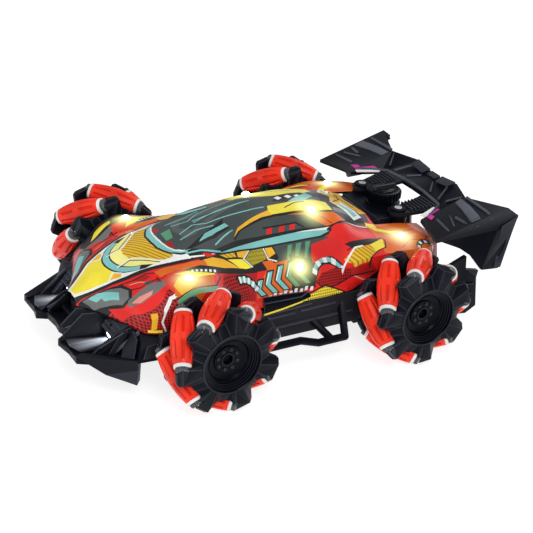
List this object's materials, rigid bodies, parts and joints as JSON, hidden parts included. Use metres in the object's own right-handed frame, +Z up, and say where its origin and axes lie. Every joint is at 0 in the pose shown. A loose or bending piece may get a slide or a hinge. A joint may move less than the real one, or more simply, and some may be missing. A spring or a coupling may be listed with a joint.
{
  "type": "radio-controlled stunt car",
  "caption": "Low open-bodied toy race car on slanted-roller wheels, with a winged tail and a mist unit behind the cockpit.",
  "frame": {"origin": "on the ground under the middle of the car's overall box", "axes": "+X forward, +Y to the car's left, +Z up"},
  "size_m": [0.2993, 0.1988, 0.0872],
  "materials": {
    "roller_rubber": "satin soft barrels with white rings",
    "wheel_black": "satin",
    "gear_white": "satin",
    "brass": "machined",
    "shell_print": "gloss, printed in red, yellow, orange, teal and black",
    "chassis_black": "fine grain",
    "trim_black": "satin",
    "module_black": "satin",
    "battery_wrap": "shrink sleeve",
    "board_green": "solder mask",
    "motor_steel": "rolled",
    "lamp_clear": "clear",
    "screw_steel": "plated",
    "switch_grey": "satin"
  },
  "bodies": {
    "chassis": {"battery_door": "chassis_black", "battery_pack": "battery_wrap", "body_shell": "shell_print", "chassis_deck": "chassis_black", "chassis_tray": "chassis_black", "circuit_board": "board_green", "front_bumper": "trim_black", "lamp_lenses": "lamp_clear", "motors": "motor_steel", "rear_bumper": "trim_black", "rear_wing": "trim_black", "screws": "screw_steel", "side_bars": "trim_black", "spray_tank": "module_black"},
    "wheel_fl": {"hub_star_fl": "wheel_black", "hub_plate_fl": "wheel_black", "drive_axle_fl": "gear_white"},
    "wheel_rl": {"hub_star_rl": "wheel_black", "hub_plate_rl": "wheel_black", "drive_axle_rl": "gear_white"},
    "wheel_fr": {"hub_star_fr": "wheel_black", "hub_plate_fr": "wheel_black", "drive_axle_fr": "gear_white"},
    "wheel_rr": {"hub_star_rr": "wheel_black", "hub_plate_rr": "wheel_black", "drive_axle_rr": "gear_white"},
    "pinion_fl": {"motor_pinion_fl": "brass"},
    "pinion_rl": {"motor_pinion_rl": "brass"},
    "pinion_fr": {"motor_pinion_fr": "brass"},
    "pinion_rr": {"motor_pinion_rr": "brass"},
    "roller_fl_1": {"roller_fl_1": "roller_rubber"},
    "roller_fl_2": {"roller_fl_2": "roller_rubber"},
    "roller_fl_3": {"roller_fl_3": "roller_rubber"},
    "roller_fl_4": {"roller_fl_4": "roller_rubber"},
    "roller_fl_5": {"roller_fl_5": "roller_rubber"},
    "roller_fl_6": {"roller_fl_6": "roller_rubber"},
    "roller_fl_7": {"roller_fl_7": "roller_rubber"},
    "roller_rl_1": {"roller_rl_1": "roller_rubber"},
    "roller_rl_2": {"roller_rl_2": "roller_rubber"},
    "roller_rl_3": {"roller_rl_3": "roller_rubber"},
    "roller_rl_4": {"roller_rl_4": "roller_rubber"},
    "roller_rl_5": {"roller_rl_5": "roller_rubber"},
    "roller_rl_6": {"roller_rl_6": "roller_rubber"},
    "roller_rl_7": {"roller_rl_7": "roller_rubber"},
    "roller_fr_1": {"roller_fr_1": "roller_rubber"},
    "roller_fr_2": {"roller_fr_2": "roller_rubber"},
    "roller_fr_3": {"roller_fr_3": "roller_rubber"},
    "roller_fr_4": {"roller_fr_4": "roller_rubber"},
    "roller_fr_5": {"roller_fr_5": "roller_rubber"},
    "roller_fr_6": {"roller_fr_6": "roller_rubber"},
    "roller_fr_7": {"roller_fr_7": "roller_rubber"},
    "roller_rr_1": {"roller_rr_1": "roller_rubber"},
    "roller_rr_2": {"roller_rr_2": "roller_rubber"},
    "roller_rr_3": {"roller_rr_3": "roller_rubber"},
    "roller_rr_4": {"roller_rr_4": "roller_rubber"},
    "roller_rr_5": {"roller_rr_5": "roller_rubber"},
    "roller_rr_6": {"roller_rr_6": "roller_rubber"},
    "roller_rr_7": {"roller_rr_7": "roller_rubber"},
    "switch_slider": {"power_switch": "switch_grey"},
    "cap": {"tank_cap": "module_black"}
  },
  "joints": [
    {"name": "wheel_spin_fl", "type": "hinge", "parent": "chassis", "child": "wheel_fl", "pos_m": [0.0746, 0.0824, 0.0355], "axis": [0, 1, 0], "continuous": true},
    {"name": "wheel_spin_rl", "type": "hinge", "parent": "chassis", "child": "wheel_rl", "pos_m": [-0.0654, 0.0824, 0.0355], "axis": [0, 1, 0], "continuous": true},
    {"name": "wheel_spin_fr", "type": "hinge", "parent": "chassis", "child": "wheel_fr", "pos_m": [0.0746, -0.0824, 0.0355], "axis": [0, 1, 0], "continuous": true},
    {"name": "wheel_spin_rr", "type": "hinge", "parent": "chassis", "child": "wheel_rr", "pos_m": [-0.0654, -0.0824, 0.0355], "axis": [0, 1, 0], "continuous": true},
    {"name": "pinion_spin_fl", "type": "hinge", "parent": "chassis", "child": "pinion_fl", "pos_m": [0.0586, 0.0464, 0.0355], "axis": [0, 1, 0], "continuous": true},
    {"name": "pinion_spin_rl", "type": "hinge", "parent": "chassis", "child": "pinion_rl", "pos_m": [-0.0494, 0.0464, 0.0355], "axis": [0, 1, 0], "continuous": true},
    {"name": "pinion_spin_fr", "type": "hinge", "parent": "chassis", "child": "pinion_fr", "pos_m": [0.0586, -0.0464, 0.0355], "axis": [0, 1, 0], "continuous": true},
    {"name": "pinion_spin_rr", "type": "hinge", "parent": "chassis", "child": "pinion_rr", "pos_m": [-0.0494, -0.0464, 0.0355], "axis": [0, 1, 0], "continuous": true},
    {"name": "roller_spin_fl_1", "type": "hinge", "parent": "wheel_fl", "child": "roller_fl_1", "pos_m": [0.09907, 0.0824, 0.0489], "axis": [0.3396, 0.7071, -0.6202], "continuous": true},
    {"name": "roller_spin_fl_2", "type": "hinge", "parent": "wheel_fl", "child": "roller_fl_2", "pos_m": [0.07938, 0.0824, 0.06299], "axis": [0.6966, 0.7071, -0.1212], "continuous": true},
    {"name": "roller_spin_fl_3", "type": "hinge", "parent": "wheel_fl", "child": "roller_fl_3", "pos_m": [0.05609, 0.0824, 0.05638], "axis": [0.5291, 0.7071, 0.4691], "continuous": true},
    {"name": "roller_spin_fl_4", "type": "hinge", "parent": "wheel_fl", "child": "roller_fl_4", "pos_m": [0.04674, 0.0824, 0.03405], "axis": [-0.0368, 0.7071, 0.7061], "continuous": true},
    {"name": "roller_spin_fl_5", "type": "hinge", "parent": "wheel_fl", "child": "roller_fl_5", "pos_m": [0.05836, 0.0824, 0.01281], "axis": [-0.5751, 0.7071, 0.4115], "continuous": true},
    {"name": "roller_spin_fl_6", "type": "hinge", "parent": "wheel_fl", "child": "roller_fl_6", "pos_m": [0.08222, 0.0824, 0.00866], "axis": [-0.6802, 0.7071, -0.193], "continuous": true},
    {"name": "roller_spin_fl_7", "type": "hinge", "parent": "wheel_fl", "child": "roller_fl_7", "pos_m": [0.10033, 0.0824, 0.02472], "axis": [-0.2732, 0.7071, -0.6522], "continuous": true},
    {"name": "roller_spin_rl_1", "type": "hinge", "parent": "wheel_rl", "child": "roller_rl_1", "pos_m": [-0.04444, 0.0824, 0.05391], "axis": [0.4667, 0.7071, -0.5312], "continuous": true},
    {"name": "roller_spin_rl_2", "type": "hinge", "parent": "wheel_rl", "child": "roller_rl_2", "pos_m": [-0.06673, 0.0824, 0.06337], "axis": [0.7063, 0.7071, 0.0337], "continuous": true},
    {"name": "roller_spin_rl_3", "type": "hinge", "parent": "wheel_rl", "child": "roller_rl_3", "pos_m": [-0.08802, 0.0824, 0.05184], "axis": [0.4141, 0.7071, 0.5732], "continuous": true},
    {"name": "roller_spin_rl_4", "type": "hinge", "parent": "wheel_rl", "child": "roller_rl_4", "pos_m": [-0.09227, 0.0824, 0.028], "axis": [-0.19, 0.7071, 0.6811], "continuous": true},
    {"name": "roller_spin_rl_5", "type": "hinge", "parent": "wheel_rl", "child": "roller_rl_5", "pos_m": [-0.0763, 0.0824, 0.00982], "axis": [-0.651, 0.7071, 0.2761], "continuous": true},
    {"name": "roller_spin_rl_6", "type": "hinge", "parent": "wheel_rl", "child": "roller_rl_6", "pos_m": [-0.05211, 0.0824, 0.01097], "axis": [-0.6218, 0.7071, -0.3368], "continuous": true},
    {"name": "roller_spin_rl_7", "type": "hinge", "parent": "wheel_rl", "child": "roller_rl_7", "pos_m": [-0.03793, 0.0824, 0.03059], "axis": [-0.1244, 0.7071, -0.6961], "continuous": true},
    {"name": "roller_spin_fr_1", "type": "hinge", "parent": "wheel_fr", "child": "roller_fr_1", "pos_m": [0.09178, -0.0824, 0.05749], "axis": [0.5572, -0.7071, -0.4353], "continuous": true},
    {"name": "roller_spin_fr_2", "type": "hinge", "parent": "wheel_fr", "child": "roller_fr_2", "pos_m": [0.06812, -0.0824, 0.06264], "axis": [0.6878, -0.7071, 0.1642], "continuous": true},
    {"name": "roller_spin_fr_3", "type": "hinge", "parent": "wheel_fr", "child": "roller_fr_3", "pos_m": [0.04934, -0.0824, 0.04735], "axis": [0.3004, -0.7071, 0.6401], "continuous": true},
    {"name": "roller_spin_fr_4", "type": "hinge", "parent": "wheel_fr", "child": "roller_fr_4", "pos_m": [0.04958, -0.0824, 0.02314], "axis": [-0.3131, -0.7071, 0.634], "continuous": true},
    {"name": "roller_spin_fr_5", "type": "hinge", "parent": "wheel_fr", "child": "roller_fr_5", "pos_m": [0.06866, -0.0824, 0.00824], "axis": [-0.6909, -0.7071, 0.1505], "continuous": true},
    {"name": "roller_spin_fr_6", "type": "hinge", "parent": "wheel_fr", "child": "roller_fr_6", "pos_m": [0.09221, -0.0824, 0.01386], "axis": [-0.5484, -0.7071, -0.4464], "continuous": true},
    {"name": "roller_spin_fr_7", "type": "hinge", "parent": "wheel_fr", "child": "roller_fr_7", "pos_m": [0.1025, -0.0824, 0.03578], "axis": [0.0071, -0.7071, -0.7071], "continuous": true},
    {"name": "roller_spin_rr_1", "type": "hinge", "parent": "wheel_rr", "child": "roller_rr_1", "pos_m": [-0.04912, -0.0824, 0.05816], "axis": [0.5742, -0.7071, -0.4126], "continuous": true},
    {"name": "roller_spin_rr_2", "type": "hinge", "parent": "wheel_rr", "child": "roller_rr_2", "pos_m": [-0.07296, -0.0824, 0.06236], "axis": [0.6806, -0.7071, 0.1917], "continuous": true},
    {"name": "roller_spin_rr_3", "type": "hinge", "parent": "wheel_rr", "child": "roller_rr_3", "pos_m": [-0.09111, -0.0824, 0.04633], "axis": [0.2745, -0.7071, 0.6517], "continuous": true},
    {"name": "roller_spin_rr_4", "type": "hinge", "parent": "wheel_rr", "child": "roller_rr_4", "pos_m": [-0.0899, -0.0824, 0.02215], "axis": [-0.3383, -0.7071, 0.6209], "continuous": true},
    {"name": "roller_spin_rr_5", "type": "hinge", "parent": "wheel_rr", "child": "roller_rr_5", "pos_m": [-0.07024, -0.0824, 0.00802], "axis": [-0.6964, -0.7071, 0.1226], "continuous": true},
    {"name": "roller_spin_rr_6", "type": "hinge", "parent": "wheel_rr", "child": "roller_rr_6", "pos_m": [-0.04693, -0.0824, 0.01459], "axis": [-0.5301, -0.7071, -0.468], "continuous": true},
    {"name": "roller_spin_rr_7", "type": "hinge", "parent": "wheel_rr", "child": "roller_rr_7", "pos_m": [-0.03753, -0.0824, 0.0369], "axis": [0.0354, -0.7071, -0.7062], "continuous": true},
    {"name": "switch_slide", "type": "slide", "parent": "chassis", "child": "switch_slider", "axis": [1, 0, 0], "range_m": [0, 0.003]},
    {"name": "cap_pull", "type": "slide", "parent": "chassis", "child": "cap", "axis": [0, 0, 1], "range_m": [0, 0.012]}
  ],
  "couplings": [
    {"joint": "pinion_spin_fl", "follows": "wheel_spin_fl", "ratio": -3},
    {"joint": "pinion_spin_rl", "follows": "wheel_spin_rl", "ratio": -3},
    {"joint": "pinion_spin_fr", "follows": "wheel_spin_fr", "ratio": -3},
    {"joint": "pinion_spin_rr", "follows": "wheel_spin_rr", "ratio": -3}
  ]
}
